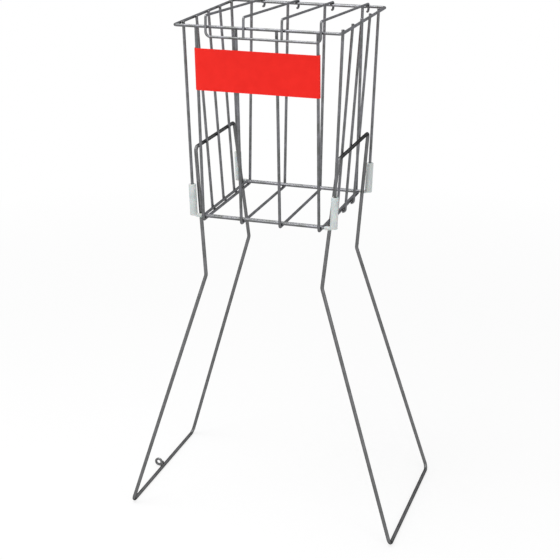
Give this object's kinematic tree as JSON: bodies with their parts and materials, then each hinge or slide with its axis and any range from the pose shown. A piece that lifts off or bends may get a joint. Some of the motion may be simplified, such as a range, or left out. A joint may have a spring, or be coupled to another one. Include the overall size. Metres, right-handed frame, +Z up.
{
  "type": "ball hopper",
  "caption": "Tall wire ball basket with a hinged wire lid, on two wire leg loops that swing up to become handles.",
  "frame": {"origin": "on the floor under the middle of the whole footprint, curl included", "axes": "+Z up, the front with the red plate towards -Y, the leg loops towards -X and +X"},
  "size_m": [0.4916, 0.291, 0.8709],
  "materials": {
    "basket_steel": "plated, satin",
    "leg_steel": "plated, satin, darker",
    "sleeve_plastic": "satin",
    "red_plate": "satin, bare of print"
  },
  "bodies": {
    "basket": {"rim_wire": "basket_steel", "bottom_ring": "basket_steel", "basket_rod_1": "basket_steel", "basket_rod_2": "basket_steel", "basket_rod_3": "basket_steel", "basket_rod_4": "basket_steel", "front_corner_frame": "basket_steel", "back_corner_frame": "basket_steel", "side_rod_left_1": "basket_steel", "side_rod_left_2": "basket_steel", "side_rod_left_3": "basket_steel", "side_rod_right_1": "basket_steel", "side_rod_right_2": "basket_steel", "side_rod_right_3": "basket_steel", "sleeve_front_left": "sleeve_plastic", "sleeve_front_right": "sleeve_plastic", "sleeve_back_left": "sleeve_plastic", "sleeve_back_right": "sleeve_plastic", "front_plate": "red_plate"},
    "lid": {"lid_frame": "basket_steel", "lid_rod_2": "basket_steel", "lid_rod_3": "basket_steel", "lid_rear_wire": "basket_steel"},
    "left_leg": {"left_leg_loop": "leg_steel", "handle_curl": "leg_steel"},
    "right_leg": {"right_leg_loop": "leg_steel"}
  },
  "joints": [
    {"name": "left_leg_fold", "type": "hinge", "parent": "basket", "child": "left_leg", "pos_m": [-0.11246, 0, 0.647], "axis": [0, 1, 0], "range_deg": [0, 179.5]},
    {"name": "right_leg_fold", "type": "hinge", "parent": "basket", "child": "right_leg", "pos_m": [0.12857, 0, 0.647], "axis": [0, -1, 0], "range_deg": [0, 179.5]},
    {"name": "lid_hinge", "type": "hinge", "parent": "basket", "child": "lid", "pos_m": [0.00806, 0.134, 0.851], "axis": [-1, 0, 0], "range_deg": [-2.8, 255]}
  ]
}
